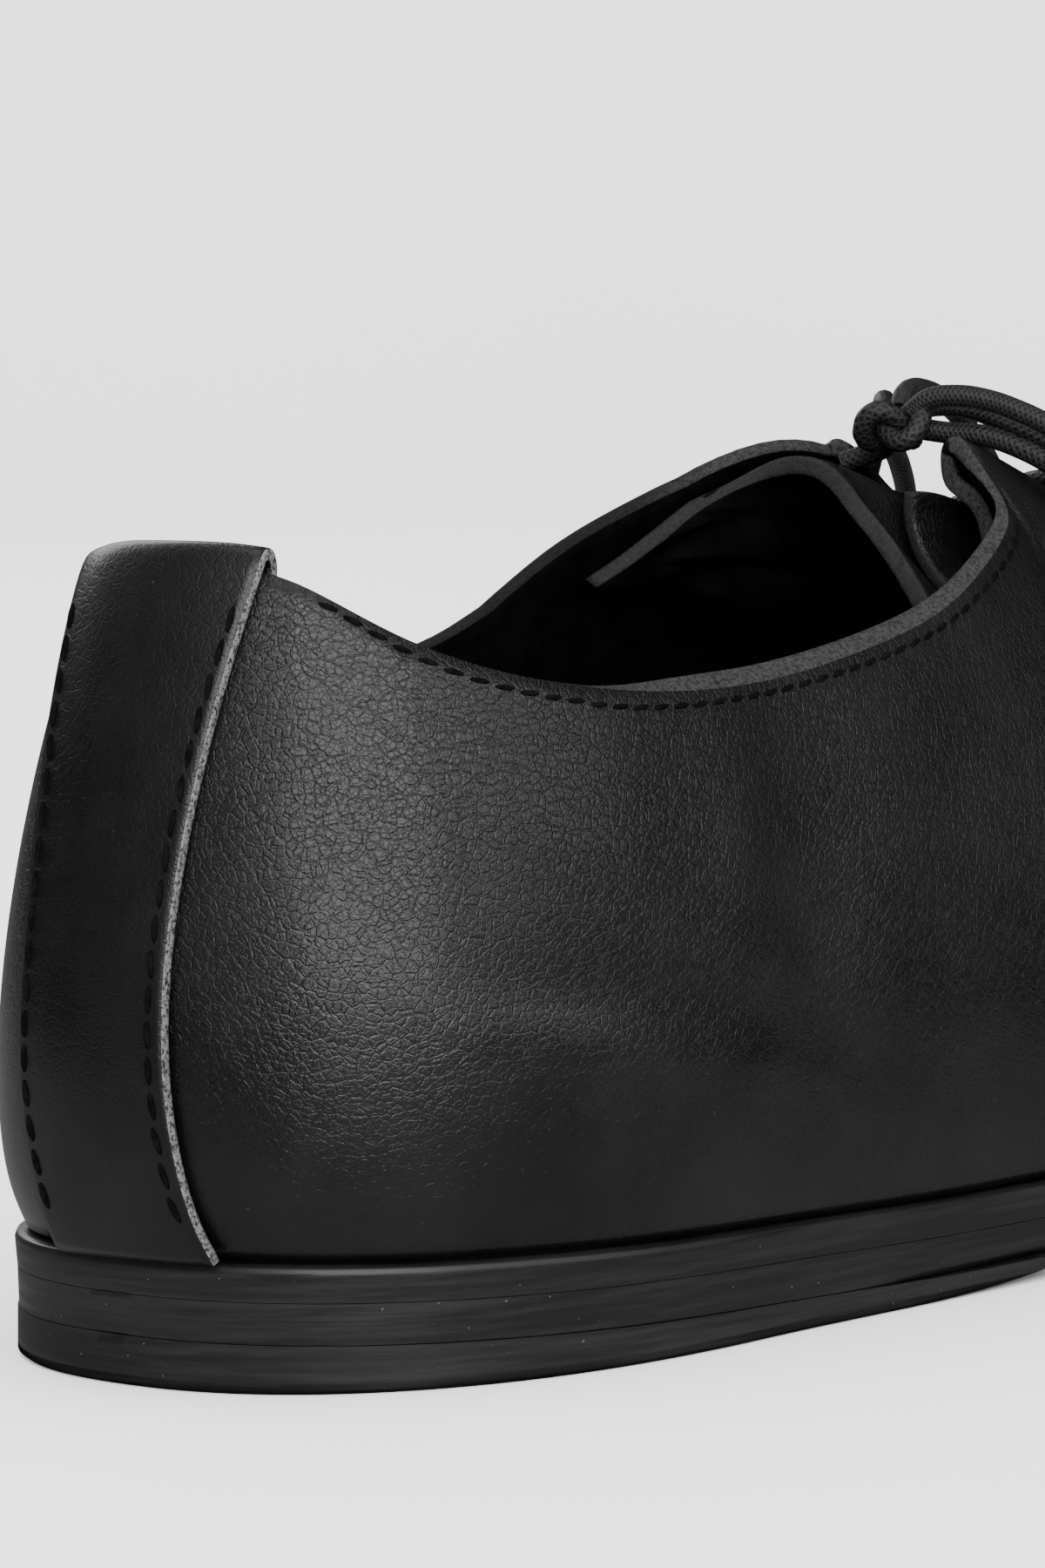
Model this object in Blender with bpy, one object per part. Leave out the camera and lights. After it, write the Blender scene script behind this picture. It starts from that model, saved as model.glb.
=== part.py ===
# A derby shoe for the right foot: low blended heel, unlined upper, heel strip, folded facings and a cord lace.
# Metres, +Z up, the toe towards +X and the outer side of the foot towards -Y.
# The origin is on the floor under the middle of the heel. Distances named x are counted from the
# back of the sole, and place() turns them into the part's own frame.

import math

import bmesh
import bpy
import numpy as np
from mathutils import Matrix, Vector

mm = 0.001

# Driving sizes of the shoe
shoe_length = 288 * mm
ball_width = 103 * mm
waist_width = 64 * mm
heel_width = 68 * mm
back_height = 60.3 * mm
instep_height = 71.5 * mm
origin_from_back = 32 * mm

# Sole
midsole_thickness = 3.0 * mm
outsole_thickness = 3.6 * mm
heel_height = 4.6 * mm
heel_front = 92 * mm
heel_scoop = 24 * mm
arch_rise = 1.2 * mm
toe_spring = 9 * mm
edge_round = 0.7 * mm
ledge = 2.3 * mm
seam_gap = 0.3 * mm

# Leather of the upper
wall = 1.8 * mm
quarter_lap = 1.2 * mm
strip_thickness = 1.2 * mm
strip_width = 19 * mm
strip_fold = 7 * mm
tongue_thickness = 1.8 * mm
tongue_width = 46 * mm
tongue_spread, tongue_narrowing = 0.861, 0.097
gusset_thickness = 1.2 * mm
insole_thickness = 2.4 * mm

# Throat, facings and lace
throat_back = 110 * mm
throat_front = 160 * mm
throat_half_width = 10 * mm
collar_turn = 3.5 * mm
fold_end = 4 * mm
roll_size = 2.2 * mm
roll_rise = 0.5 * mm
quarter_front = 163 * mm
tongue_front = 172 * mm
gusset_back = 106 * mm
gusset_front = 140 * mm
quarter_sweep = 28 * mm
lace_diameter = 2.2 * mm
lace_lift = 0.9 * mm
eyelet_start = 121 * mm
eyelet_spacing = 10.5 * mm
eyelet_reach = 17 * mm
eyelet_pairs = 4
knot_size = (3.4 * mm, 3.2 * mm, 2.5 * mm)
knot_place = (110.8, 1.5, 80.1)

# Ends of the outline and hubs that the ribs of the last turn about
heel_round = 46 * mm
heel_power = 2.3
toe_round = 88 * mm
toe_power = 2.0
heel_hub = 30 * mm
toe_hub = 248 * mm
hub_blend = 24 * mm
heel_share, toe_share = 0.19, 0.68

# Share of its height at which the heel strip's foot stands clear of the sole
strip_foot = 0.02

# How finely the sheets are divided
sole_stations, heel_stations, insole_stations = 52, 30, 40
collar_columns, throat_columns, vamp_columns, toe_columns = 18, 11, 7, 12
rib_rows, crown_rows = 9, 3
strip_columns, strip_lines = 6, 9
tongue_columns, tongue_lines = 9, 16
gusset_columns = 8

lateral, medial = -1, 1
sides = {lateral: "lateral", medial: "medial"}
widths = {"heel": heel_width, "waist": waist_width, "ball": ball_width}


def table(names, *rows):
    """Rows of numbers as one list for each named column."""
    return dict(zip(names.split(), map(list, zip(*rows))))


# Half widths from the centre line as shares of the named width, and the centre line's own shift
outline_rows = table(
    "at of lateral medial centre",
    (0.160, "heel", 0.500, 0.500, 0.000),
    (0.260, "waist", 0.558, 0.470, 0.014),
    (0.365, "waist", 0.590, 0.412, 0.026),
    (0.435, "waist", 0.628, 0.402, 0.028),
    (0.520, "ball", 0.446, 0.292, 0.028),
    (0.610, "ball", 0.516, 0.386, 0.027),
    (0.6945, "ball", 0.540, 0.445, 0.028),
    (1.000, "ball", 0.540, 0.445, 0.045),
)

# Last: crown height over the sole and rise of the wall as shares of the instep height, flare as a
# share of the ball width, and the share of a rib's reach that its upper handle takes on each side
last_rows = table(
    "at crown_height rise flare lateral medial",
    (0.00, 1.190, 0.22, 0.085, 0.60, 0.60),
    (0.08, 1.190, 0.22, 0.082, 0.62, 0.63),
    (0.18, 1.180, 0.24, 0.066, 0.72, 0.76),
    (0.29, 1.100, 0.25, 0.070, 0.72, 0.84),
    (0.375, 1.00, 0.25, 0.068, 0.72, 0.88),
    (0.45, 0.870, 0.23, 0.058, 0.70, 0.84),
    (0.52, 0.750, 0.21, 0.045, 0.67, 0.76),
    (0.60, 0.625, 0.19, 0.040, 0.64, 0.68),
    (0.68, 0.525, 0.17, 0.038, 0.60, 0.62),
    (0.76, 0.445, 0.15, 0.036, 0.62, 0.62),
    (0.86, 0.370, 0.14, 0.036, 0.64, 0.64),
    (1.00, 0.300, 0.13, 0.036, 0.66, 0.66),
)

# Collar line over the sole as shares of the back height, by the foot of each rib
collar_rows = table(
    "at lateral medial",
    (0.0000, 1.000, 1.000),
    (0.0225, 0.985, 0.985),
    (0.0310, 0.964, 0.964),
    (0.0500, 0.910, 0.912),
    (0.0700, 0.869, 0.875),
    (0.1100, 0.823, 0.835),
    (0.1600, 0.799, 0.812),
    (0.2100, 0.811, 0.815),
    (0.2400, 0.831, 0.834),
    (0.2600, 0.847, 0.880),
    (0.2780, 0.862, 0.952),
    (0.2920, 0.876, 1.001),
    (0.3100, 0.900, 1.034),
    (0.3410, 0.958, 1.096),
    (0.3660, 1.012, 1.155),
    (0.3740, 1.050, 1.178),
    (0.3820, 1.130, 1.200),
)

# Section of a facing's fold, in roll sizes towards the centre line and down from the facing's edge
fold_rows = table(
    "lateral_across lateral_down medial_across medial_down",
    (0.42, -0.09, 0.30, -0.17),
    (0.85, 0.00, 0.64, -0.23),
    (1.18, 0.26, 1.06, -0.14),
    (1.39, 0.65, 1.41, 0.13),
    (1.41, 1.10, 1.61, 0.51),
    (1.38, 1.60, 1.63, 0.94),
    (1.25, 2.05, 1.55, 1.30),
    (0.95, 2.40, 1.32, 1.85),
    (0.50, 2.65, 1.05, 2.40),
    (-0.10, 2.95, 0.76, 3.00),
    (-0.60, 3.45, 0.46, 3.65),
    (-0.85, 4.20, 0.18, 4.40),
    (-0.95, 5.10, -0.10, 5.20),
    (-0.95, 6.10, -0.38, 6.00),
)

# Section of the gusset's layer between the lateral facing's fold and the tongue, in the same units
gusset_rows = table(
    "across down",
    (1.82, 2.3),
    (1.94, 3.0),
    (1.92, 3.8),
    (1.55, 4.9),
    (1.05, 5.7),
    (0.35, 6.5),
    (-0.80, 7.4),
)

# Tongue from its lateral edge to its medial one: where its free end lies as a share of the throat's
# back, then how far across and down it is there and between the facings, in tongue widths
tongue_rows = table(
    "end end_across end_down throat_across throat_down",
    (0.845, -0.435, 0.315, -0.300, 0.368),
    (0.858, -0.326, 0.199, -0.215, 0.318),
    (0.872, -0.217, 0.104, -0.136, 0.240),
    (0.882, -0.152, 0.055, -0.086, 0.150),
    (0.887, -0.087, 0.006, -0.078, 0.052),
    (0.890, 0.000, -0.020, -0.042, 0.006),
    (0.896, 0.100, -0.012, 0.030, 0.010),
    (0.893, 0.195, 0.006, 0.072, 0.052),
    (0.866, 0.240, 0.055, 0.110, 0.140),
    (0.818, 0.290, 0.125, 0.160, 0.230),
    (0.765, 0.345, 0.220, 0.235, 0.330),
)

# How far the tongue's top lies under the last's crown, as a share of the instep height
tongue_line = table(
    "at down",
    (0.310, 0.180),
    (0.326, 0.152),
    (0.340, 0.127),
    (0.372, 0.090),
    (0.434, 0.088),
    (0.500, 0.088),
    (0.535, 0.080),
    (0.580, 0.064),
    (0.620, 0.060),
)

# Reach of the heel strip to each side as shares of its width, by share of its height
strip_rows = table(
    "at lateral medial",
    (0.00, 0.620, 0.330),
    (0.20, 0.540, 0.430),
    (0.35, 0.480, 0.500),
    (0.60, 0.470, 0.490),
    (0.80, 0.520, 0.555),
    (1.00, 0.570, 0.630),
)


# Routes of the bow's cords, chosen by hand, in millimetres from the back of the sole
cord_routes = {
    "lace_loop_lateral": [
        (112.2, -2.0, 82.0),
        (113.6, -4.5, 82.3),
        (115.2, -7.0, 81.8),
        (116.6, -9.4, 80.8),
        (118.2, -12.2, 79.2),
        (119.8, -16.2, 76.4),
        (121.8, -20.8, 72.4),
        (124.4, -24.8, 67.2),
        (126.4, -28.0, 61.6),
        (126.4, -30.6, 56.8),
        (123.8, -32.4, 53.6),
        (119.8, -32.6, 53.6),
        (117.2, -31.2, 57.0),
        (116.6, -28.4, 62.0),
        (117.0, -24.0, 67.2),
        (117.4, -19.0, 71.6),
        (117.6, -14.0, 74.8),
        (116.5, -9.4, 77.2),
        (115.2, -6.2, 78.3),
        (113.9, -3.2, 78.6),
    ],
    "lace_loop_medial": [
        (113.6, 5.0, 81.4),
        (117.6, 8.4, 81.6),
        (121.8, 12.4, 79.8),
        (126.0, 17.6, 75.4),
        (129.2, 22.4, 69.6),
        (131.2, 26.6, 63.4),
        (132.2, 29.8, 57.2),
        (133.4, 32.0, 51.8),
        (136.6, 33.2, 48.6),
        (140.8, 32.8, 49.2),
        (143.0, 30.8, 53.4),
        (142.0, 27.8, 59.2),
        (138.4, 23.8, 65.2),
        (133.4, 19.4, 70.4),
        (127.2, 14.8, 74.4),
        (120.2, 10.2, 77.4),
        (114.8, 6.4, 78.6),
    ],
    "lace_end_lateral": [
        (115.0, 1.8, 80.9),
        (119.6, 0.6, 81.0),
        (125.0, -1.2, 79.2),
        (131.6, -3.6, 76.0),
        (138.6, -6.6, 72.2),
        (145.0, -10.2, 68.0),
    ],
    "lace_end_medial": [
        (114.5, 2.9, 82.6),
        (118.6, 3.9, 82.7),
        (124.0, 5.6, 81.0),
        (131.0, 8.0, 77.4),
        (138.0, 11.2, 72.8),
        (143.6, 14.8, 68.0),
    ],
    "lace_strand_medial": [
        (110.6, 8.2, 75.7),
        (111.4, 7.0, 76.2),
        (112.2, 5.8, 76.7),
        (112.9, 4.6, 77.2),
    ],
}


def spline(xs, ys, level_ends=False):
    """A smooth curve through the points, held at its end values beyond them."""
    xs, ys = np.array(xs, float), np.array(ys, float)
    step, slope = np.diff(xs), np.diff(ys) / np.diff(xs)
    last = len(xs) - 1
    matrix, target = np.eye(last + 1), np.zeros(last + 1)
    for i in range(1, last):
        matrix[i, i - 1 : i + 2] = step[i - 1], 2 * (step[i - 1] + step[i]), step[i]
        target[i] = 6 * (slope[i] - slope[i - 1])
    if level_ends:
        matrix[0, :2], target[0] = (2 * step[0], step[0]), 6 * slope[0]
        matrix[last, last - 1 :], target[last] = (step[-1], 2 * step[-1]), -6 * slope[-1]
    bend = np.linalg.solve(matrix, target)

    def value(x):
        x = min(max(x, xs[0]), xs[-1])
        i = min(max(int(np.searchsorted(xs, x)) - 1, 0), last - 1)
        h, after, before = step[i], xs[i + 1] - x, x - xs[i]
        bent = (bend[i] * after**3 + bend[i + 1] * before**3) / (6 * h)
        from_left = (ys[i] / h - bend[i] * h / 6) * after
        from_right = (ys[i + 1] / h - bend[i + 1] * h / 6) * before
        return bent + from_left + from_right

    return value


def lengths(rows, name, unit, level_ends=False):
    """A column of a table, times a size, as a curve of the distance from the back."""
    places = [at * shoe_length for at in rows["at"]]
    return spline(places, [share * unit for share in rows[name]], level_ends)


def half_widths(name):
    """The outline's half width on one side between its round ends."""
    rows = [i for i, at in enumerate(outline_rows["at"]) if at < 1]
    places = [outline_rows["at"][i] * shoe_length for i in rows]
    places[0], places[-1] = heel_round, shoe_length - toe_round
    values = [outline_rows[name][i] * widths[outline_rows["of"][i]] for i in rows]
    return spline(places, values, level_ends=True)


half_width = {side: half_widths(name) for side, name in sides.items()}
centre_line = lengths(outline_rows, "centre", ball_width)
crown_height = lengths(last_rows, "crown_height", instep_height)
wall_rise = lengths(last_rows, "rise", instep_height)
wall_flare = lengths(last_rows, "flare", ball_width)
crown_handle = {side: lengths(last_rows, name, 1.0) for side, name in sides.items()}
collar_height = {side: lengths(collar_rows, name, back_height) for side, name in sides.items()}
rest_back, rest_front = 0.62 * shoe_length, 0.745 * shoe_length


def soft_ramp(distance, blend):
    """A straight ramp that starts softly over a distance."""
    if distance <= 0:
        return 0.0
    return distance**2 / (2 * blend) if distance < blend else distance - blend / 2


def ease(share):
    share = min(max(share, 0.0), 1.0)
    return share * share * (3 - 2 * share)


def underside(x):
    """Height of the outsole's underside: down from the heel, over the arch, flat at the ball, up at the toe."""
    blend = 0.16 * shoe_length
    wedge = soft_ramp(rest_back - x, blend) / soft_ramp(rest_back, blend)
    spring = soft_ramp(x - rest_front, blend) / soft_ramp(shoe_length - rest_front, blend)
    arch_share = (x - heel_front + heel_scoop) / (rest_back - heel_front + heel_scoop)
    arch = math.sin(math.pi * min(max(arch_share, 0), 1)) ** 2
    return heel_height * wedge + arch_rise * arch + toe_spring * spring


def sole_top(x):
    return underside(x) + outsole_thickness + seam_gap + midsole_thickness


def outline(side, t, inset=0.0):
    """The sole's outline on one side, from the back of the heel at t = 0 to the tip of the toe at t = 1."""

    def raw(t):
        if t < heel_share:
            angle = math.pi / 2 * t / heel_share
            x = heel_round * (1 - math.cos(angle) ** (2 / heel_power))
            reach = half_width[side](heel_round) * math.sin(angle) ** (2 / heel_power)
        elif t > toe_share:
            angle = math.pi / 2 * (1 - t) / (1 - toe_share)
            x = shoe_length - toe_round * (1 - math.cos(angle) ** (2 / toe_power))
            reach = half_width[side](shoe_length) * math.sin(angle) ** (2 / toe_power)
        else:
            along = (t - heel_share) / (toe_share - heel_share)
            x = heel_round + along * (shoe_length - toe_round - heel_round)
            reach = half_width[side](x)
        return Vector((x, centre_line(x) + side * reach))

    if not inset:
        return raw(t)
    step = 0.004
    before, after = raw(max(t - step, 0)), raw(min(t + step, 1))
    if t < step:
        before = Vector((after.x, 2 * centre_line(0) - after.y))
    if t > 1 - step:
        after = Vector((before.x, 2 * centre_line(shoe_length) - before.y))
    tangent = (after - before).normalized()
    inward = Vector((side * tangent.y, -side * tangent.x))
    return raw(t) + inset * inward


def side_share(x):
    """The outline's t where one of its long sides passes x."""
    return heel_share + (x - heel_round) / (shoe_length - toe_round - heel_round) * (toe_share - heel_share)


def place(x, y, z):
    return Vector((x - origin_from_back, y, z))


def hub(x):
    """Where the rib that stands at x turns to: the heel's hub, its own place or the toe's hub."""
    behind = soft_ramp(heel_hub + hub_blend / 2 - x, hub_blend)
    ahead = soft_ramp(x - toe_hub + hub_blend / 2, hub_blend)
    return x + behind - ahead


def ridge_height(x):
    return sole_top(x) + crown_height(x)


def rib(side, t):
    """The four handles of the last's rib at t, from the sole up to the crown."""
    foot = outline(side, t, ledge)
    middle = hub(outline(side, t).x)
    top = Vector((middle, centre_line(middle)))
    reach = (top - foot).length
    inward = (top - foot) / reach
    slope = (ridge_height(middle + mm) - ridge_height(middle - mm)) / (2 * mm)
    foot_height = sole_top(foot.x) + seam_gap
    crown = ridge_height(middle)
    back = crown_handle[side](foot.x) * reach
    lower = foot - inward * wall_flare(foot.x)
    upper = top - inward * back
    return [
        place(*foot, foot_height),
        place(*lower, foot_height + wall_rise(foot.x)),
        place(*upper, crown - slope * inward.x * back),
        place(*top, crown),
    ]


def along_rib(handles, share):
    rest = 1 - share
    a, b, c, d = handles
    return a * rest**3 + b * 3 * rest**2 * share + c * 3 * rest * share**2 + d * share**3


def share_where(side, t, reached):
    """The share of a rib where a test on its points turns true."""
    handles, low, high = rib(side, t), 0.0, 1.0
    for _ in range(30):
        middle = (low + high) / 2
        if reached(along_rib(handles, middle)):
            high = middle
        else:
            low = middle
    return high


def throat_reach(x):
    """Distance from the centre line to a facing's edge."""
    closing = ease((x - throat_back) / (throat_front - throat_back))
    return throat_half_width * (1 - 0.12 * closing)


def edge_share(side, t):
    """Where a rib leaves the upper's own sheet: at the collar, a facing's edge or beside the crown."""
    foot = outline(side, t, ledge)
    if foot.x < throat_back:
        height = sole_top(foot.x) + collar_height[side](foot.x)
        by_height = share_where(side, t, lambda point: point.z > height)
    else:
        by_height = 1.0
    middle = hub(outline(side, t).x)
    top = place(middle, centre_line(middle), 0)
    by_reach = share_where(side, t, lambda point: (point.xy - top.xy).length < throat_reach(foot.x))
    return min(by_height, by_reach)


def shell_point(side, t, share, out=0.0):
    """A point of the upper's outer surface, moved out along its normal."""
    point = along_rib(rib(side, t), share)
    if not out:
        return point
    step = 0.002
    before, after = max(t - step, 0), min(t + step, 1)
    around = along_rib(rib(side, after), share) - along_rib(rib(side, before), share)
    if t < step:
        around = Vector((0, side, 0))
    if t > 1 - step:
        around = Vector((0, -side, 0))
    up = along_rib(rib(side, t), min(share + step, 1)) - along_rib(rib(side, t), share - step)
    point += up.cross(around).normalized() * side * out
    point.z = max(point.z, sole_top(point.x + origin_from_back) + seam_gap)
    return point


def material(name, colour, roughness, metallic=0.0):
    made = bpy.data.materials.new(name)
    made.use_nodes = True
    shader = made.node_tree.nodes["Principled BSDF"]
    shader.inputs["Base Color"].default_value = (*colour, 1.0)
    shader.inputs["Roughness"].default_value = roughness
    shader.inputs["Metallic"].default_value = metallic
    made.diffuse_color = (*colour, 1.0)
    return made


def finish(bm, name, finish_of):
    """A smooth-shaded object from a bmesh."""
    mesh = bpy.data.meshes.new(name)
    bm.to_mesh(mesh)
    bm.free()
    mesh.shade_smooth()
    mesh.set_sharp_from_angle(angle=math.radians(40))
    made = bpy.data.objects.new(name, mesh)
    made.data.materials.append(finish_of)
    bpy.context.scene.collection.objects.link(made)
    return made


def add_grid(bm, rows, flip=False):
    """Quads between rows of points."""
    verts = [[bm.verts.new(point) for point in row] for row in rows]
    for first, second in zip(verts, verts[1:]):
        for i in range(len(first) - 1):
            corners = [first[i], first[i + 1], second[i + 1], second[i]]
            bm.faces.new(corners[::-1] if flip else corners)


def thicken(made, thickness, offset):
    """A sheet's real thickness: -1 grows it inwards, 1 outwards."""
    solid = made.modifiers.new("thickness", "SOLIDIFY")
    solid.thickness = thickness
    solid.offset = offset
    solid.use_even_offset = True
    solid.use_rim = True
    return made


def sole_layer(name, levels, end, stations, finish_of):
    """A layer of the sole, lofted along its length through rings. A level is a height and an inset."""
    bm = bmesh.new()
    rings = []
    for station in range(stations + 1):
        t = end * station / stations
        ring = []
        for side, ordered in ((lateral, levels), (medial, levels[::-1])):
            for height, inset in ordered:
                point = outline(side, t, inset)
                ring.append(place(*point, height(point.x)))
        rings.append(ring + ring[:1])
    add_grid(bm, rings)
    bmesh.ops.remove_doubles(bm, verts=bm.verts, dist=0.00001)
    bmesh.ops.dissolve_degenerate(bm, edges=bm.edges, dist=0.000001)
    bmesh.ops.holes_fill(bm, edges=bm.edges, sides=0)
    bmesh.ops.recalc_face_normals(bm, faces=bm.faces)
    return finish(bm, name, finish_of)


def above(height, distance):
    return lambda x: height(x) + distance


def heel_top(x):
    return underside(x) - seam_gap


def heel_bottom(x):
    """The heel stands on the floor and scoops up into the sole at its front."""
    scoop = soft_ramp(x - heel_front + heel_scoop, heel_scoop) / (heel_scoop / 2)
    return scoop * (heel_top(heel_front) - edge_round)


def outsole_top(x):
    return underside(x) + outsole_thickness


def make_sole(leather, rubber):
    """Midsole, outsole and heel, each with rounded outer edges where they show."""
    midsole = [
        (above(sole_top, -midsole_thickness), edge_round * 0.4),
        (above(sole_top, -edge_round), edge_round * 0.2),
        (above(sole_top, -edge_round * 0.3), edge_round * 0.5),
        (sole_top, edge_round * 1.3),
    ]
    sole_layer("midsole", midsole, 1, sole_stations, leather)
    outsole = [
        (underside, 2 * edge_round + 0.5 * mm),
        (above(underside, edge_round), edge_round),
        (above(underside, 2.2 * edge_round), edge_round * 0.4),
        (outsole_top, edge_round * 0.4),
    ]
    sole_layer("outsole", outsole, 1, sole_stations, leather)
    heel = [
        (heel_bottom, edge_round),
        (above(heel_bottom, edge_round * 0.6), edge_round * 0.2),
        (heel_top, edge_round * 0.4),
    ]
    sole_layer("heel", heel, side_share(heel_front), heel_stations, rubber)


def make_insole(leather):
    inner = ledge + wall + 2 * seam_gap
    levels = [
        (above(sole_top, seam_gap), inner),
        (above(sole_top, seam_gap + insole_thickness), inner),
    ]
    sole_layer("insole", levels, 1, insole_stations, leather)


def upper_columns(side):
    """The ribs' places: t, the quarter's lap there and the share of the sweep that the rib takes."""
    joint = side_share(quarter_front)
    step = 0.5 * mm / shoe_length
    columns = list(np.linspace(0, side_share(throat_back), collar_columns + 1)[:-1])
    if side == lateral:
        columns.append(side_share(throat_back - collar_turn))
    columns += list(np.linspace(side_share(throat_back), joint - step, throat_columns + 1))
    columns += list(np.linspace(joint + step, toe_share, vamp_columns + 1))
    columns += list(np.linspace(toe_share, 1, toe_columns + 1)[1:])
    return columns, joint


def swept(t, share, joint):
    """A rib near the quarter's front edge leans back towards the sole, as that edge does."""
    near = max(0.0, 1 - abs(t - joint) / 0.2)
    return t - ease(near) * quarter_sweep / shoe_length * (1 - share) ** 1.5


def upper_point(side, t, share, joint):
    lap = quarter_lap if t < joint else 0.0
    return shell_point(side, swept(t, share, joint), share, lap)


def fold_points(side, edge):
    """The facing turns over at its edge and comes back under the quarter."""
    name = sides[side]
    pairs = zip(fold_rows[name + "_across"], fold_rows[name + "_down"])
    return [edge + Vector((0, -side * across, -down)) * roll_size for across, down in pairs]


def make_upper(leather):
    """Quarters, facings and vamp in one sheet: open at the collar, the throat and underneath."""
    bm = bmesh.new()
    folded = side_share(throat_back) - 0.0001, side_share(throat_front - fold_end)
    for side in sides:
        columns, joint = upper_columns(side)
        body, folds, crown = [], [], []
        for t in columns:
            edge = edge_share(side, t)
            shares = [edge * row / rib_rows for row in range(rib_rows + 1)]
            body.append([upper_point(side, t, share, joint) for share in shares])
            if folded[0] < t < folded[1]:
                folds.append([body[-1][-1]] + fold_points(side, body[-1][-1]))
            if t > joint:
                shares = [edge + (1 - edge) * row / crown_rows for row in range(crown_rows + 1)]
                crown.append([upper_point(side, t, share, joint) for share in shares])
        for rows in (body, folds, crown):
            add_grid(bm, rows, flip=side == medial)
    bmesh.ops.remove_doubles(bm, verts=bm.verts, dist=0.00002)
    bmesh.ops.dissolve_degenerate(bm, edges=bm.edges, dist=0.000001)
    bmesh.ops.recalc_face_normals(bm, faces=bm.faces)
    bm.faces.ensure_lookup_table()
    rearmost = min(bm.faces, key=lambda face: face.calc_center_median().x)
    if rearmost.normal.x > 0:
        bmesh.ops.reverse_faces(bm, faces=bm.faces)
    return thicken(finish(bm, "upper", leather), wall, -1)


def make_backstay(leather):
    """The heel strip lies on the upper over the back seam and folds over the collar to the inside."""
    half_share = {side: spline(strip_rows["at"], strip_rows[name]) for side, name in sides.items()}
    limit = side_share(heel_round) * 0.8

    def column_at(across, height_share):
        """The rib where the strip's column stands, at a share of its height."""
        side = medial if across > 0 else lateral
        reach = abs(across) * half_share[side](height_share) * strip_width
        low, high = 0.0, limit
        for _ in range(24):
            middle = (low + high) / 2
            share = edge_share(side, middle) * height_share
            if abs(shell_point(side, middle, share, quarter_lap).y) < reach:
                low = middle
            else:
                high = middle
        return side, middle if reach else 0.0

    sheet = []
    for column in range(strip_columns + 1):
        across = 2 * column / strip_columns - 1
        line = []
        for row in range(strip_lines + 1):
            side, t = column_at(across, row / strip_lines)
            share = edge_share(side, t) * max(row / strip_lines, strip_foot)
            line.append(shell_point(side, t, share, quarter_lap + seam_gap))
        share = edge_share(side, t)
        edge = shell_point(side, t, share, quarter_lap - wall / 2)
        outward = (line[-1] - edge).normalized()
        upward = (shell_point(side, t, share, quarter_lap) - shell_point(side, t, share - 0.01, quarter_lap))
        upward = (upward - outward * upward.dot(outward)).normalized()
        round_edge = wall / 2 + seam_gap
        for angle in (45, 90, 135):
            turn = math.radians(angle)
            line.append(edge + (outward * math.cos(turn) + upward * math.sin(turn)) * round_edge)
        for step in range(4):
            depth = strip_fold / back_height * share * step / 3
            line.append(shell_point(side, t, share - depth, quarter_lap - wall - seam_gap))
        sheet.append(line)
    bm = bmesh.new()
    add_grid(bm, sheet)
    return thicken(finish(bm, "backstay", leather), strip_thickness, 1)


def make_tongue(leather):
    """A sheet over the instep, spread out at its free end and narrower between the facings."""
    index = list(range(len(tongue_rows["end"])))
    column = {name: spline(index, values) for name, values in tongue_rows.items()}
    below_crown = lengths(tongue_line, "down", instep_height)
    sheet = []
    for row in range(tongue_lines + 1):
        i = index[-1] * row / tongue_lines
        free_end = column["end"](i) * throat_back
        line = []
        for step in range(tongue_columns + 1):
            x = free_end + (tongue_front - free_end) * (step / tongue_columns) ** 1.4
            between = ease((x / throat_back - tongue_spread) / tongue_narrowing)
            narrowing = throat_reach(x) / throat_half_width
            across = column["throat_across"](i) * between * narrowing
            across += column["end_across"](i) * (1 - between)
            down = column["end_down"](i) * (1 - between) + column["throat_down"](i) * between
            height = ridge_height(x) - below_crown(x) - down * tongue_width
            line.append(place(x, centre_line(x) + across * tongue_width, height))
        sheet.append(line)
    bm = bmesh.new()
    add_grid(bm, sheet, flip=True)
    return thicken(finish(bm, "tongue", leather), tongue_thickness, -1)


def make_gusset(leather):
    """The bellows between the lateral facing's fold and the tongue shows one more layer."""
    joint = side_share(quarter_front)
    sheet = []
    for x in np.linspace(gusset_back, gusset_front, gusset_columns + 1):
        t = side_share(max(x, throat_back + 0.1 * mm))
        edge = upper_point(lateral, t, edge_share(lateral, t), joint)
        edge.x = place(x, 0, 0).x
        pairs = zip(gusset_rows["across"], gusset_rows["down"])
        sheet.append([edge + Vector((0, across, -down)) * roll_size for across, down in pairs])
    bm = bmesh.new()
    add_grid(bm, sheet)
    return thicken(finish(bm, "gusset", leather), gusset_thickness, 1)


def tube(name, points, finish_of):
    """A round cord on a curve through the points, with a point every two or three diameters."""
    far = [0.0]
    for first, second in zip(points, points[1:]):
        far.append(far[-1] + (Vector(second) - Vector(first)).length)
    along = [spline(far, [point[i] for point in points]) for i in range(3)]
    steps = max(6, round(far[-1] / (2.2 * lace_diameter)))
    curve = bpy.data.curves.new(name, "CURVE")
    curve.dimensions = "3D"
    curve.bevel_depth = lace_diameter / 2
    curve.bevel_resolution = 2
    curve.use_fill_caps = True
    line = curve.splines.new("POLY")
    line.points.add(steps)
    for i, point in enumerate(line.points):
        distance = far[-1] * i / steps
        point.co = (*[value(distance) for value in along], 1.0)
    made = bpy.data.objects.new(name, curve)
    curve.materials.append(finish_of)
    bpy.context.scene.collection.objects.link(made)
    return made


def facing_point(side, x, reach):
    """A lace's centre where it lies on a facing, at a distance from the shoe's centre line."""
    t = side_share(x)
    share = share_where(side, t, lambda point: abs(point.y - centre_line(x)) < reach)
    return shell_point(side, t, share, quarter_lap + lace_diameter / 2 + lace_lift)


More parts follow.
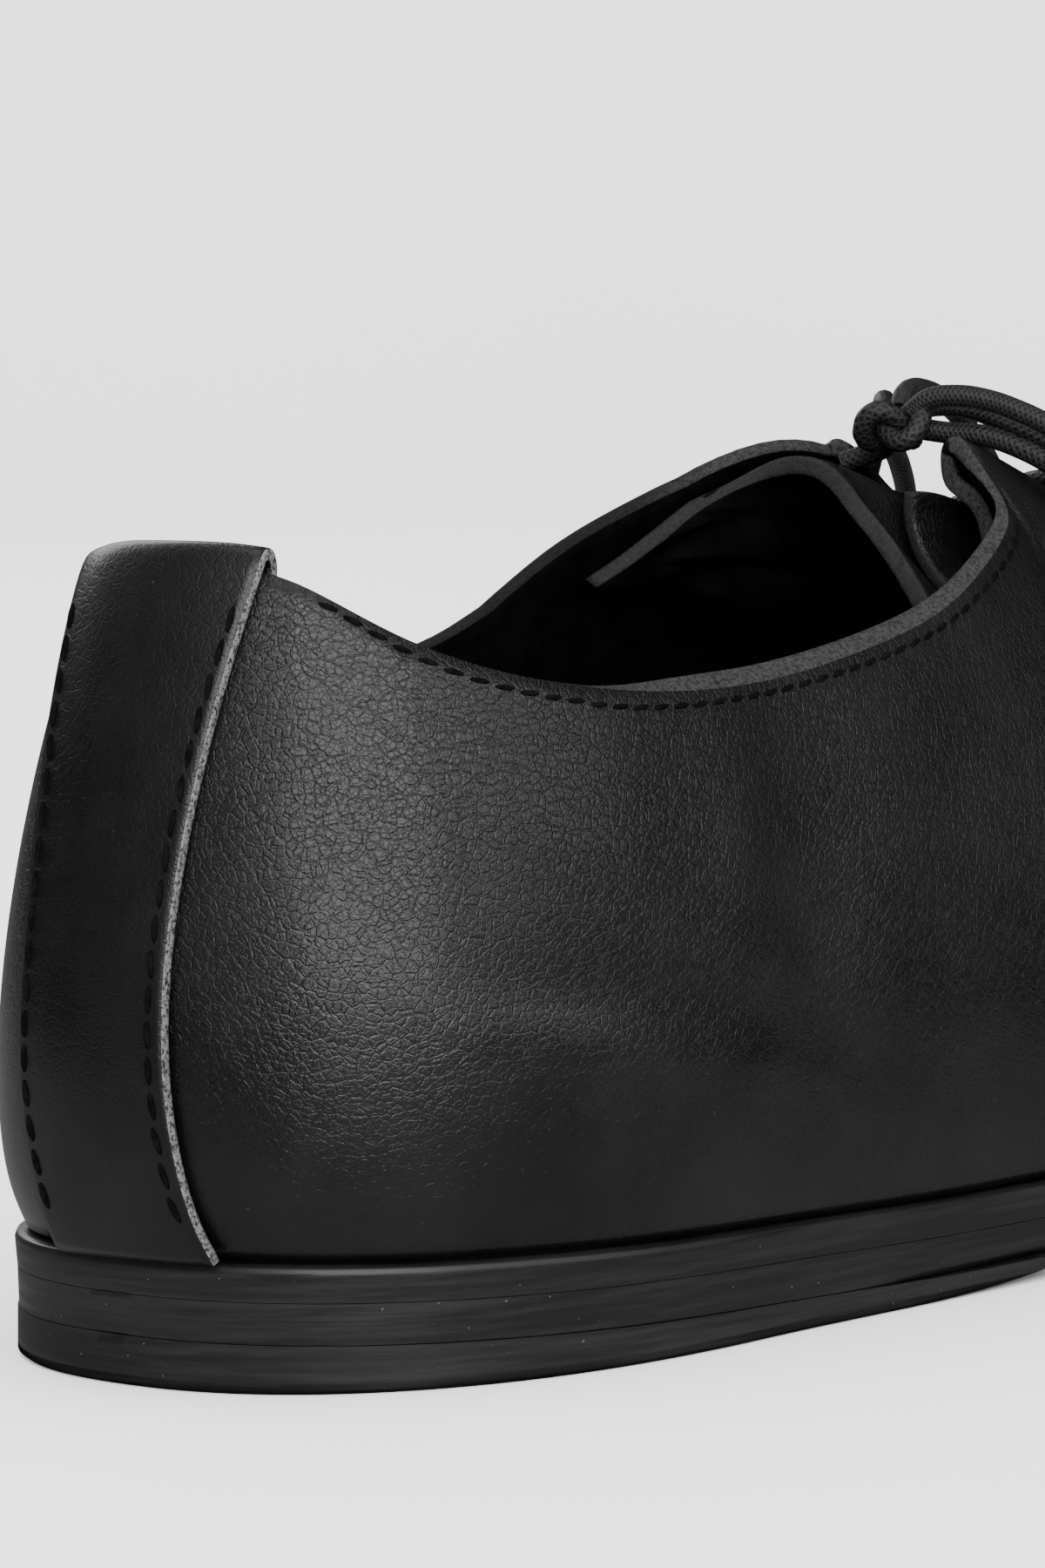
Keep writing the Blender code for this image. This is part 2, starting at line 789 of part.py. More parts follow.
def strand(lateral_x, medial_x):
    """A lace's way from one facing's eyelet to the other's, over both folds."""
    ways = []
    for side, x in ((lateral, lateral_x), (medial, medial_x)):
        reaches = [eyelet_reach, (eyelet_reach + throat_reach(x)) / 2, throat_reach(x)]
        ways.append([facing_point(side, x, reach) for reach in reaches])
        over_fold = Vector((0, -side * roll_size, roll_rise))
        ways[-1].append(ways[-1][-1] + over_fold)
    return ways[0] + ways[1][::-1]


def mesh_of(cord):
    """A cord's tube as a mesh, for a union."""
    mesh = bpy.data.meshes.new_from_object(cord)
    name, curve = cord.name, cord.data
    bpy.data.objects.remove(cord)
    bpy.data.curves.remove(curve)
    made = bpy.data.objects.new(name, mesh)
    bpy.context.scene.collection.objects.link(made)
    return made


def make_crossings(cotton):
    """The lace crosses over the throat between each two pairs of eyelets, and runs straight across at the last."""
    beside = lace_diameter * 0.7
    for pair in range(eyelet_pairs - 1):
        back = eyelet_start + pair * eyelet_spacing + beside
        front = back + eyelet_spacing - 2 * beside
        crossing = mesh_of(tube(f"lace_crossing_{pair + 1}", strand(back, front), cotton))
        other = mesh_of(tube(f"lace_crossing_{pair + 1}_return", strand(front, back), cotton))
        other.hide_render = True
        other.display_type = "WIRE"
        union = crossing.modifiers.new("join", "BOOLEAN")
        union.operation = "UNION"
        union.solver = "EXACT"
        union.object = other
    last = eyelet_start + (eyelet_pairs - 1) * eyelet_spacing + beside
    tube("lace_bar", strand(last, last), cotton)


def make_bow(cotton):
    """The knot over the throat's top, the cords that come up to it, two loops and two ends."""
    bm = bmesh.new()
    bmesh.ops.create_uvsphere(bm, u_segments=14, v_segments=8, radius=1.0)
    knot = finish(bm, "lace_knot", cotton)
    knot.data.transform(Matrix.Diagonal((*knot_size, 1.0)))
    knot.location = place(*[value * mm for value in knot_place])
    for name, route in cord_routes.items():
        tube(name, [place(x * mm, y * mm, z * mm) for x, y, z in route], cotton)


def build():
    for old in list(bpy.data.objects):
        bpy.data.objects.remove(old, do_unlink=True)
    upper_leather = material("black leather", (0.012, 0.012, 0.013), 0.42)
    sole_leather = material("blackened sole leather", (0.015, 0.014, 0.013), 0.5)
    rubber = material("black heel rubber", (0.018, 0.018, 0.018), 0.7)
    lining = material("black insole leather", (0.02, 0.02, 0.02), 0.6)
    cotton = material("black waxed cotton", (0.01, 0.01, 0.01), 0.6)
    make_sole(sole_leather, rubber)
    make_insole(lining)
    make_upper(upper_leather)
    make_backstay(upper_leather)
    make_tongue(upper_leather)
    make_gusset(upper_leather)
    make_crossings(cotton)
    make_bow(cotton)


build()
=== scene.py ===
import math
import bmesh
import bpy
from mathutils import Matrix, Vector
from mathutils.bvhtree import BVHTree


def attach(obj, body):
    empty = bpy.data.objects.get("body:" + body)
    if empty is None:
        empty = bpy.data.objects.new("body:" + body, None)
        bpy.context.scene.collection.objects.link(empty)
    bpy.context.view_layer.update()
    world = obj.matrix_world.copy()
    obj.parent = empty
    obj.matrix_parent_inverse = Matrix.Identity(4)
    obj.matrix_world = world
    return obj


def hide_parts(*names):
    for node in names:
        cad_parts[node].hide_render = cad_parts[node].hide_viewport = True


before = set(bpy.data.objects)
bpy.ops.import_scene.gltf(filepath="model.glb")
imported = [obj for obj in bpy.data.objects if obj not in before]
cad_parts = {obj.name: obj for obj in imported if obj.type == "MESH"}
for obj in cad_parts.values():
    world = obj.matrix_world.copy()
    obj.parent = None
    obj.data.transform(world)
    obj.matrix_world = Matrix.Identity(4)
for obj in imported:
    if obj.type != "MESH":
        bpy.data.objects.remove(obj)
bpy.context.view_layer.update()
mm = 0.001
backOfSole = -32 * mm  # the part's own x of the sole's rearmost point
throatMiddle = 2.9  # the throat's middle line, in millimetres towards the inner side


def fromBack(x, y, z):
    # a place in millimetres from the back of the sole, in the frame's metres
    return Vector((backOfSole + x * mm, y * mm, z * mm))


# the camera stands where the photo's did, by a fit to the shoe's outline
cameraSettings = {
    "place": fromBack(-388.8, -429.7, 102.6),
    "azimuth": -45.9,
    "elevation": 5.0,
    "roll": -1.9,
    "lens": 152.06,
}


def makeCamera(s):
    turn, lift, roll = (math.radians(s[key]) for key in ("azimuth", "elevation", "roll"))
    back = Vector((math.sin(turn) * math.cos(lift), -math.cos(turn) * math.cos(lift), math.sin(lift)))
    level = Vector((math.cos(turn), math.sin(turn), 0))
    up = back.cross(level)
    right = level * math.cos(roll) + up * math.sin(roll)
    up = up * math.cos(roll) - level * math.sin(roll)
    data = bpy.data.cameras.new("camera")
    data.lens = s["lens"]
    data.clip_start, data.clip_end = 0.05, 50
    camera = bpy.data.objects.new("camera", data)
    bpy.context.scene.collection.objects.link(camera)
    camera.matrix_world = Matrix.Translation(s["place"]) @ Matrix((right, up, back)).transposed().to_4x4()
    bpy.context.scene.camera = camera


makeCamera(cameraSettings)
print("camera placed")


def newMaterial(name, **sockets):
    material = bpy.data.materials.new(name)
    material.use_nodes = True
    shader = material.node_tree.nodes["Principled BSDF"]
    for key, value in sockets.items():
        shader.inputs[key.replace("_", " ")].default_value = value
    return material, material.node_tree, shader


def addNode(tree, kind, settings=None, **values):
    # a node with its properties, and its sockets set by value or linked from another socket
    node = tree.nodes.new(kind)
    for key, value in (settings or {}).items():
        setattr(node, key, value)
    for key, value in values.items():
        numbered = key[0] == "i" and key[1:].isdigit()  # i0, i1: a socket by its number
        socket = node.inputs[int(key[1:]) if numbered else key.replace("_", " ")]
        if isinstance(value, bpy.types.NodeSocket):
            tree.links.new(value, socket)
        else:
            socket.default_value = value
    return node


def blendColours(tree, share, first, second):
    mix = tree.nodes.new("ShaderNodeMix")
    mix.data_type = "RGBA"
    for socket, value in ((mix.inputs[0], share), (mix.inputs[6], first), (mix.inputs[7], second)):
        if isinstance(value, bpy.types.NodeSocket):
            tree.links.new(value, socket)
        else:
            socket.default_value = value
    return mix.outputs[2]


def ramp(tree, value, low, high, toLow=0.0, toHigh=1.0):
    node = addNode(tree, "ShaderNodeMapRange", {"interpolation_type": "SMOOTHSTEP"}, Value=value)
    for key, number in (("From Min", low), ("From Max", high), ("To Min", toLow), ("To Max", toHigh)):
        node.inputs[key].default_value = number
    return node.outputs["Result"]


def times(tree, first, second):
    return addNode(tree, "ShaderNodeMath", {"operation": "MULTIPLY"}, i0=first, i1=second).outputs[0]


def plus(tree, first, second):
    return addNode(tree, "ShaderNodeMath", {"operation": "ADD"}, i0=first, i1=second).outputs[0]


def noise(tree, place, scale, detail=4.0, roughness=0.55):
    return addNode(tree, "ShaderNodeTexNoise", Vector=place, Scale=scale, Detail=detail,
                   Roughness=roughness).outputs["Fac"]


def newGroup(name, outputs):
    group = bpy.data.node_groups.new(name, "ShaderNodeTree")
    for output in outputs:
        group.interface.new_socket(output, in_out="OUTPUT", socket_type="NodeSocketFloat")
    return group, group.nodes.new("NodeGroupOutput")


def makeLeatherGroup():
    # crackled grain, a mask of where it is strong, soft wear and fine specks
    group, out = newGroup("leatherMaps", ("Grain", "Strength", "Wear", "Specks"))
    place = addNode(group, "ShaderNodeTexCoord").outputs["Object"]
    warp = addNode(group, "ShaderNodeTexNoise", Vector=place, Scale=500.0, Detail=2.0).outputs["Color"]
    bent = addNode(group, "ShaderNodeMixRGB", {"blend_type": "LINEAR_LIGHT"},
                   Fac=0.0004, Color1=place, Color2=warp)
    cells = []
    for scale in (1050.0, 2100.0):
        cell = addNode(group, "ShaderNodeTexVoronoi", {"feature": "DISTANCE_TO_EDGE"}, Vector=bent.outputs[0],
                       Scale=scale).outputs["Distance"]
        cells.append(ramp(group, cell, 0.0, 0.13))
    pebbles = plus(group, times(group, cells[0], 0.65), times(group, cells[1], 0.35))
    grain = plus(group, times(group, pebbles, 0.8), times(group, noise(group, place, 900.0, 5.0, 0.6), 0.35))
    axes = addNode(group, "ShaderNodeSeparateXYZ", Vector=place)
    high = ramp(group, axes.outputs["Z"], 0.018, 0.05, 0.3, 1.0)
    patches = ramp(group, noise(group, place, 38.0, 3.0), 0.3, 0.7, 0.8, 1.0)
    group.links.new(grain, out.inputs["Grain"])
    group.links.new(times(group, high, patches), out.inputs["Strength"])
    group.links.new(noise(group, place, 60.0, 5.0, 0.6), out.inputs["Wear"])
    group.links.new(ramp(group, noise(group, place, 2400.0, 2.0), 0.7, 0.82), out.inputs["Specks"])
    return group


leatherMaps = makeLeatherGroup()
leatherSettings = {"dark": (0.0014, 0.0014, 0.0015, 1), "worn": (0.0036, 0.0035, 0.0035, 1), "grain": 0.00011,
                   "smooth": 0.27, "rough": 0.5, "coat": 0.35, "coatRoughness": 0.16}


def makeLeather(name, s, share=1.0):
    material, tree, shader = newMaterial(name, Coat_Weight=s["coat"], Coat_Roughness=s["coatRoughness"])
    maps = addNode(tree, "ShaderNodeGroup", {"node_tree": leatherMaps})
    colour = blendColours(tree, ramp(tree, maps.outputs["Wear"], 0.35, 0.75), s["dark"], s["worn"])
    colour = blendColours(tree, times(tree, maps.outputs["Specks"], 0.3), colour, (0.06, 0.06, 0.06, 1))
    tree.links.new(colour, shader.inputs["Base Color"])
    gloss = ramp(tree, maps.outputs["Strength"], 0.15, 0.9, s["smooth"], s["rough"])
    gloss = plus(tree, gloss, ramp(tree, maps.outputs["Wear"], 0.3, 0.8, -0.03, 0.04))
    tree.links.new(gloss, shader.inputs["Roughness"])
    height = times(tree, times(tree, maps.outputs["Grain"], maps.outputs["Strength"]), share)
    bump = addNode(tree, "ShaderNodeBump", Height=height, Distance=s["grain"], Strength=1.0)
    tree.links.new(bump.outputs["Normal"], shader.inputs["Normal"])
    soft = addNode(tree, "ShaderNodeBump", Height=height, Distance=s["grain"] * 0.4, Strength=1.0)
    tree.links.new(soft.outputs["Normal"], shader.inputs["Coat Normal"])
    return material


edgeSettings = {"pale": (0.026, 0.027, 0.026, 1), "grey": (0.009, 0.0095, 0.009, 1),
                "dark": (0.003, 0.003, 0.003, 1)}


def makeRawEdge(name, s, paleFrom=None, paler=1.0):
    # the cut edge of the hide: fibrous and pale grey, darker towards the heel and on the inner side where
    # paleFrom is given
    material, tree, shader = newMaterial(name, Roughness=0.85, Specular_IOR_Level=0.15)
    place = addNode(tree, "ShaderNodeTexCoord").outputs["Object"]
    fibres = noise(tree, place, 2600.0, 4.0, 0.7)
    pale = tuple(paler * c for c in s["pale"][:3]) + (1,)
    colour = blendColours(tree, ramp(tree, fibres, 0.36, 0.6), s["grey"], pale)
    stains = ramp(tree, noise(tree, place, 260.0, 4.0), 0.62, 0.74)
    colour = blendColours(tree, times(tree, stains, 0.7), colour, s["dark"])
    if paleFrom:
        axes = addNode(tree, "ShaderNodeSeparateXYZ", Vector=place)
        nearSide = ramp(tree, axes.outputs["Y"], 0.014, 0.02, 1.0, 0.2)
        near = times(tree, ramp(tree, axes.outputs["X"], *paleFrom), nearSide)
        colour = blendColours(tree, near, s["dark"], colour)
    tree.links.new(colour, shader.inputs["Base Color"])
    bump = addNode(tree, "ShaderNodeBump", Height=fibres, Distance=0.00025, Strength=1.0)
    tree.links.new(bump.outputs["Normal"], shader.inputs["Normal"])
    return material


soleSettings = {"dark": (0.0045, 0.0044, 0.0042, 1), "light": (0.0095, 0.0092, 0.0088, 1),
                "dust": (0.11, 0.105, 0.1, 1)}


def makeSoleEdge(name, s, gloss=0.3):
    # the burnished edge: streaks along it, a few scuffs and specks of dust
    material, tree, shader = newMaterial(name, Coat_Weight=0.1, Coat_Roughness=0.25, Specular_IOR_Level=0.4)
    place = addNode(tree, "ShaderNodeTexCoord").outputs["Object"]
    drawn = addNode(tree, "ShaderNodeMapping", Vector=place, Scale=(45.0, 45.0, 900.0)).outputs[0]
    streaks = noise(tree, drawn, 1.6, 5.0, 0.62)
    wide = addNode(tree, "ShaderNodeMapping", Vector=place, Scale=(22.0, 22.0, 260.0)).outputs[0]
    bands = plus(tree, times(tree, streaks, 0.6), times(tree, noise(tree, wide, 1.0, 3.0), 0.4))
    colour = blendColours(tree, ramp(tree, bands, 0.38, 0.66), s["dark"], s["light"])
    dust = ramp(tree, noise(tree, place, 1900.0, 2.0), 0.735, 0.80)
    colour = blendColours(tree, times(tree, dust, 0.7), colour, s["dust"])
    tree.links.new(colour, shader.inputs["Base Color"])
    tree.links.new(ramp(tree, streaks, 0.3, 0.7, gloss, gloss + 0.2), shader.inputs["Roughness"])
    relief = plus(tree, streaks, times(tree, dust, 0.5))
    bump = addNode(tree, "ShaderNodeBump", Height=relief, Distance=0.00005, Strength=1.0)
    tree.links.new(bump.outputs["Normal"], shader.inputs["Normal"])
    return material


def makeSoft(name, colour, second, scale, roughness, depth, shine=0.2):
    # a plain worked surface: mottled colour and a fine bump
    material, tree, shader = newMaterial(name, Roughness=roughness, Specular_IOR_Level=shine)
    place = addNode(tree, "ShaderNodeTexCoord").outputs["Object"]
    mottle = noise(tree, place, scale, 5.0, 0.6)
    mottled = blendColours(tree, ramp(tree, mottle, 0.35, 0.7), colour, second)
    tree.links.new(mottled, shader.inputs["Base Color"])
    fine = noise(tree, place, scale * 6, 4.0, 0.6)
    bump = addNode(tree, "ShaderNodeBump", Height=fine, Distance=depth, Strength=1.0)
    tree.links.new(bump.outputs["Normal"], shader.inputs["Normal"])
    return material


leather = makeLeather("blackLeather", leatherSettings)
smoothLeather = makeLeather("smoothBlackLeather", leatherSettings, 0.45)
rawEdge = makeRawEdge("rawEdge", edgeSettings, paler=0.55)
stripEdge = makeRawEdge("stripEdge", edgeSettings, paler=5.0)
collarEdge = makeRawEdge("collarEdge", edgeSettings, (-0.004, 0.012))
soleEdge = makeSoleEdge("soleEdge", soleSettings)
rubber = makeSoleEdge("heelRubber", soleSettings, 0.45)
insoleLeather = makeSoft("insoleLeather", (0.012, 0.011, 0.010, 1), (0.022, 0.020, 0.018, 1),
                         120.0, 0.7, 0.0001)
thread = makeSoft("blackThread", (0.001, 0.001, 0.001, 1), (0.003, 0.003, 0.003, 1), 900.0, 0.85, 0.0001, 0.08)
# the flesh side inside the shoe: near black and almost without shine, as painted shade inside the shoe
fleshSidePaintedShade = makeSoft("fleshSidePaintedShade", (0.0012, 0.0011, 0.0011, 1), (0.0028, 0.0026, 0.0026, 1),
                     300.0, 0.95, 0.0001, 0.02)
# a matte dark colour as painted shade in the eyelet holes
holePaintedShade = makeSoft("holePaintedShade", (0.003, 0.003, 0.003, 1), (0.006, 0.006, 0.006, 1), 500.0, 0.8, 0.00005)
print("materials made")


def addObject(name, mesh, *materials):
    piece = bpy.data.objects.new(name, mesh)
    for material in materials:
        mesh.materials.append(material)
    bpy.context.scene.collection.objects.link(piece)
    return piece


def baked(piece):
    # the piece's mesh with its modifiers in it
    seen = piece.evaluated_get(bpy.context.evaluated_depsgraph_get())
    mesh = bpy.data.meshes.new_from_object(seen)
    piece.modifiers.clear()
    old, piece.data = piece.data, mesh
    bpy.data.meshes.remove(old)
    mesh.name = piece.name
    return piece


def nodeCopy(node, joinAngle=40):
    # a merged copy of a CAD node in quads
    bm = bmesh.new()
    bm.from_mesh(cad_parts[node].data)
    bmesh.ops.remove_doubles(bm, verts=bm.verts, dist=0.00002)
    bmesh.ops.join_triangles(bm, faces=bm.faces, angle_face_threshold=math.radians(joinAngle),
                             angle_shape_threshold=math.radians(60))
    return bm


def finishCopy(bm, node, name, materials, levels, sharpAngle=35):
    for face in bm.faces:
        face.smooth = True
    mesh = bpy.data.meshes.new(name)
    bm.to_mesh(mesh)
    bm.free()
    piece = addObject(name, mesh, *materials)
    smooth = piece.modifiers.new("smooth", "SUBSURF")
    smooth.levels = smooth.render_levels = levels
    baked(piece)
    if sharpAngle:
        piece.data.set_sharp_from_angle(angle=math.radians(sharpAngle))
    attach(piece, "root")
    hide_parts(node)
    return piece


def middleOf(edge):
    return sum((vert.co for vert in edge.verts), Vector()) / 2


def fromSheet(node, name, materials, thickness, levels=2, cutAngle=50, crease=0.6, shape=None):
    # a leather sheet: cut edges creased, and the rim faces between two of them in the second material
    bm = nodeCopy(node)
    creases = bm.edges.layers.float.new("crease_edge")
    cut = {edge for edge in bm.edges if edge.is_manifold and edge.calc_face_angle() > math.radians(cutAngle)}
    for edge in cut:
        edge[creases] = crease
    for face in bm.faces:
        face.material_index = 0
        edges = list(face.edges)
        if len(edges) == 4:
            for first, second in ((edges[0], edges[2]), (edges[1], edges[3])):
                across = (middleOf(first) - middleOf(second)).length
                if first in cut and second in cut and 0.5 * thickness < across < 1.5 * thickness:
                    face.material_index = 1
    if shape:
        shape(bm)
    return finishCopy(bm, node, name, materials, levels, 0)


lipSettings = {"from": 34.0, "full": 48.0, "to": 109.0, "height": 2.0 * mm}


def raiseCollarLip(bm):
    # the near collar is cut at a slant, so that its raw edge looks outwards: the rim's inner edge stands higher
    s = lipSettings
    rim = {edge for face in bm.faces if face.material_index == 1 for edge in face.edges}
    across = [edge for edge in rim if edge.is_manifold and edge.calc_face_angle() < math.radians(35)]
    for vert in {max(edge.verts, key=lambda v: v.co.y) for edge in across}:
        x = (vert.co.x - backOfSole) / mm
        if vert.co.y < 0 and s["from"] < x < s["to"] and vert.co.z > 0.05:
            vert.co.z += s["height"] * min((x - s["from"]) / (s["full"] - s["from"]), 1)


flushSettings = {"full": 62.0, "to": 88.0}


def makeFlush(bm, s):
    # over the heel the lower rings come out to the top ring's outline
    top = [vert for vert in bm.verts if vert.normal.z > 0.35]
    for vert in bm.verts:
        share = (s["to"] - (vert.co.x - backOfSole) / mm) / (s["to"] - s["full"])
        if vert.normal.z < 0.35 and share > 0:
            nearest = min(top, key=lambda other: (other.co.xy - vert.co.xy).length)
            vert.co.xy = vert.co.xy.lerp(nearest.co.xy, min(share, 1))


def fromLayer(node, name, material, drop=0.0, rise=0.0, flush=None):
    # a layer of the sole: its outline made smooth, its profile kept, and its joint closed up
    bm = nodeCopy(node)
    bm.normal_update()
    if flush:
        makeFlush(bm, flush)
    creases = bm.edges.layers.float.new("crease_edge")
    for edge in bm.edges:
        first, second = (v.co for v in edge.verts)
        level = abs(first.z - second.z) < 0.3 * (first - second).length
        if edge.is_manifold and level and edge.calc_face_angle() > math.radians(6):
            edge[creases] = 1.0
    for vert in bm.verts:
        if vert.normal.z < -0.35:
            vert.co.z -= drop
        elif vert.normal.z > 0.35:
            vert.co.z += rise
    return finishCopy(bm, node, name, [material], 2)


upper = fromSheet("upper", "upperLeather", [leather, collarEdge], 1.8 * mm, shape=raiseCollarLip)
backstay = fromSheet("backstay", "heelStrip", [smoothLeather, stripEdge], 1.2 * mm)
tongue = fromSheet("tongue", "tongueLeather", [leather, rawEdge], 1.8 * mm)
fromSheet("gusset", "gussetLeather", [leather, rawEdge], 1.2 * mm)
fromLayer("midsole", "midsoleLayer", soleEdge, drop=0.24 * mm)
fromLayer("outsole", "outsoleLayer", soleEdge, flush=flushSettings)
fromLayer("heel", "heelBlock", rubber, rise=0.2 * mm)
fromLayer("insole", "insoleSheet", insoleLeather)
print("leather pieces made")

# creases and folds, listed: two ends in millimetres from the back, half width and height in millimetres
creaseRows = [
    ((52, -31, 58), (47, -34, 24), 4.5, 0.35),
    ((60, -31, 56), (56, -34, 22), 6.0, -0.4),
    ((18, -30, 31), (49, -34, 24.5), 3.0, 0.3),
    ((18, -31, 36), (49, -34, 30), 3.5, -0.3),
    ((50, -33, 30), (66, -34, 22), 3.0, -0.25),
    ((74, -30, 52), (66, -34, 26), 5.0, 0.25),
    ((6, -15, 60), (14, -24, 40), 4.0, -0.25),
    ((22, -27, 52), (34, -30, 44), 4.0, 0.2),
    ((176, -48, 20), (186, -8, 42), 3.0, -0.5),
    ((186, -48, 18), (194, -8, 38), 3.5, 0.35),
    ((196, -47, 18), (203, -6, 35), 3.0, -0.45),
    ((176, 38, 20), (186, 6, 42), 3.0, -0.45),
    ((187, 38, 18), (196, 6, 37), 3.5, 0.35),
    ((198, 38, 18), (204, 5, 35), 3.0, -0.4),
    ((56, 29, 52), (50, 33, 24), 5.0, 0.35),
    ((66, 28, 50), (60, 33, 22), 5.0, -0.35),
]


def nearestShare(point, start, end):
    along = end - start
    return min(max((point - start).dot(along) / along.length_squared, 0.0), 1.0)


def shiftSoftly(piece, rows):
    # moves the leather about a place by a soft amount: middle, radius and move in millimetres
    for vert in piece.data.vertices:
        for middle, radius, move in rows:
            away = (vert.co - fromBack(*middle)).length / (radius * mm)
            if away < 3:
                vert.co += Vector(move) * mm * math.exp(-away * away)
    piece.data.update()


def lineInside(piece, material, middle):
    # the faces that look towards the inside of the shoe take the flesh side of the leather, near black as
    # painted shade inside the shoe
    piece.data.materials.append(material)
    last = len(piece.data.materials) - 1
    for face in piece.data.polygons:
        if face.material_index == 0 and face.normal.dot(face.center - middle(face.center)) < 0:
            face.material_index = last


def addCreases(piece, rows):
    lines = [(fromBack(*start), fromBack(*end), width * mm, height * mm) for start, end, width, height in rows]
    mesh = piece.data
    for vert in mesh.vertices:
        move = 0.0
        for start, end, width, height in lines:
            share = nearestShare(vert.co, start, end)
            away = (vert.co - start.lerp(end, share)).length / width
            if away < 3:
                move += height * math.exp(-away * away) * (0.4 + 0.6 * math.sin(math.pi * (0.15 + 0.7 * share)))
        if move:
            outward = Vector((0, math.copysign(1, vert.co.y), 0.35)).normalized()
            vert.co += outward * move
    mesh.update()


def insideUpper(place):
    # the nearest place on a line inside the shoe, which drops towards the toe and ends short of it
    front = min(max((place.x / mm - 70) / 60, 0.0), 1.0)
    return Vector((min(max(place.x, 0.0), 130 * mm), throatMiddle * mm, (35 - 20 * front) * mm))


addCreases(upper, creaseRows)
shiftSoftly(upper, [((110.5, 12, 77), 9.0, (1.6, -2.4, 1.3))])
shiftSoftly(tongue, [((107, 1, 72), 7.5, (0.0, 0.0, -2.0)), ((114, 3, 70), 7.5, (0.0, 0.0, -1.2))])
lineInside(upper, fleshSidePaintedShade, insideUpper)
lineInside(tongue, fleshSidePaintedShade, lambda place: Vector((place.x, throatMiddle * mm, 20 * mm)))


def treeOf(*pieces):
    verts, faces = [], []
    for piece in pieces:
        base = len(verts)
        verts += [v.co.copy() for v in piece.data.vertices]
        faces += [[base + i for i in p.vertices] for p in piece.data.polygons]
    return BVHTree.FromPolygons(verts, faces)


upperTree, stripTree, tongueTree = treeOf(upper), treeOf(backstay), treeOf(tongue)


def spaced(points, step):
    # places along a line of (point, normal) pairs, an even distance apart, each with its direction
    places, far = [], step / 2
    for (a, normalA), (b, normalB) in zip(points, points[1:]):
        length = (b - a).length
        if length > 6 * mm:
            continue
        while far < length:
            places.append((a.lerp(b, far / length), (b - a).normalized(), normalA.lerp(normalB, far / length)))
            far += step
        far -= length
    return places


def addStitches(name, lines, s):
    # each stitch is a short rounded thread that dips into the leather at both ends
    bm = bmesh.new()
    for line in lines:
        for place, along, normal in spaced(line, s["step"]):
            normal = (normal - along * normal.dot(along)).normalized()
            across = normal.cross(along)
            turn = Matrix.Rotation(s["slant"], 3, normal)
            axes = Matrix((turn @ along, turn @ across, normal)).transposed()
            shape = Matrix.Diagonal((s["length"] / 2, s["width"] / 2, s["height"]))
            lying = Matrix.Translation(place) @ (axes @ shape).to_4x4()
            bmesh.ops.create_icosphere(bm, subdivisions=2, radius=1.0, matrix=lying)
    for face in bm.faces:
        face.smooth = True
    mesh = bpy.data.meshes.new(name)
    bm.to_mesh(mesh)
    bm.free()
    piece = addObject(name, mesh, thread)
    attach(piece, "root")
    return piece


def hit(tree, start, direction):
    place, normal = tree.ray_cast(start, direction)[:2]
    if place is None:
        return None
    return place, normal if normal.dot(direction) < 0 else -normal


def collarLine(side, xFrom, xTo, inset, lipInset=0.0):
    # just under the collar's outer edge, found by level rays from the side
    line = []
    x = xFrom
    while x < xTo:
        low, high = 40.0, 84.0  # the collar's edge lies between these heights
        for _ in range(16):
            z = (low + high) / 2
            found = hit(upperTree, fromBack(x, side * 70, z), Vector((0, -side, 0)))
            if found and found[0].y * side > 4 * mm:
                low = z
            else:
                high = z
        share = min(max((x - lipSettings["from"]) / (lipSettings["full"] - lipSettings["from"]), 0), 1)
        height = low - inset - lipInset * share
        found = hit(upperTree, fromBack(x, side * 70, height), Vector((0, -side, 0)))
        if found:
            line.append(found)
        x += 1.5
    return line


def stripLine(side, inset, zFrom=15.0, zTo=70.0):
    # just inside the strip's long edge, found by level rays towards the heel's middle
    line = []
    z = zFrom
    while z < zTo:
        middle = fromBack(32, 0, z)
        turn, last = 0.0, None
        while turn < 0.9:
            way = Vector((-math.cos(turn), side * math.sin(turn), 0))
            found = hit(stripTree, middle + way * 0.08, -way)
            far = (found[0] - middle).dot(way) if found else 0.0
            if not found or (last and last - far > 0.6 * mm):
                break
            turn, last = turn + 0.005, far
        turn -= 0.005 + inset / 33
        way = Vector((-math.cos(turn), side * math.sin(turn), 0))
        found = hit(stripTree, middle + way * 0.08, -way)
        if found:
            line.append(found)
        z += 1.5
    return line


def tongueLine(inset):
    # just in front of the tongue's free end, found by rays from above
    line = []
    y = -13.0
    while y < 15:
        low, high = 80.0, 112.0  # the tongue's end lies between these distances from the back
        for _ in range(16):
            x = (low + high) / 2
            if hit(tongueTree, fromBack(x, y, 95), Vector((0, 0, -1))):
                high = x
            else:
                low = x
        found = hit(tongueTree, fromBack(high + inset, y, 95), Vector((0, 0, -1)))
        if found:
            line.append(found)
        y += 1.0
    return line


stripStitch = {"step": 3.1 * mm, "length": 2.6 * mm, "width": 0.65 * mm, "height": 0.34 * mm, "slant": 0.10}
collarStitch = {"step": 2.5 * mm, "length": 2.0 * mm, "width": 0.55 * mm, "height": 0.3 * mm, "slant": 0.12}
tongueStitch = {"step": 2.6 * mm, "length": 2.0 * mm, "width": 0.5 * mm, "height": 0.12 * mm, "slant": 0.0}
addStitches("stripStitches", [stripLine(-1, 1.4), stripLine(1, 1.4)], stripStitch)
addStitches("collarStitches", [collarLine(-1, 14, 106, 1.5, 1.0), collarLine(1, 14, 104, 1.5)], collarStitch)
addStitches("tongueStitches", [tongueLine(2.2)], tongueStitch)
print("stitches made")


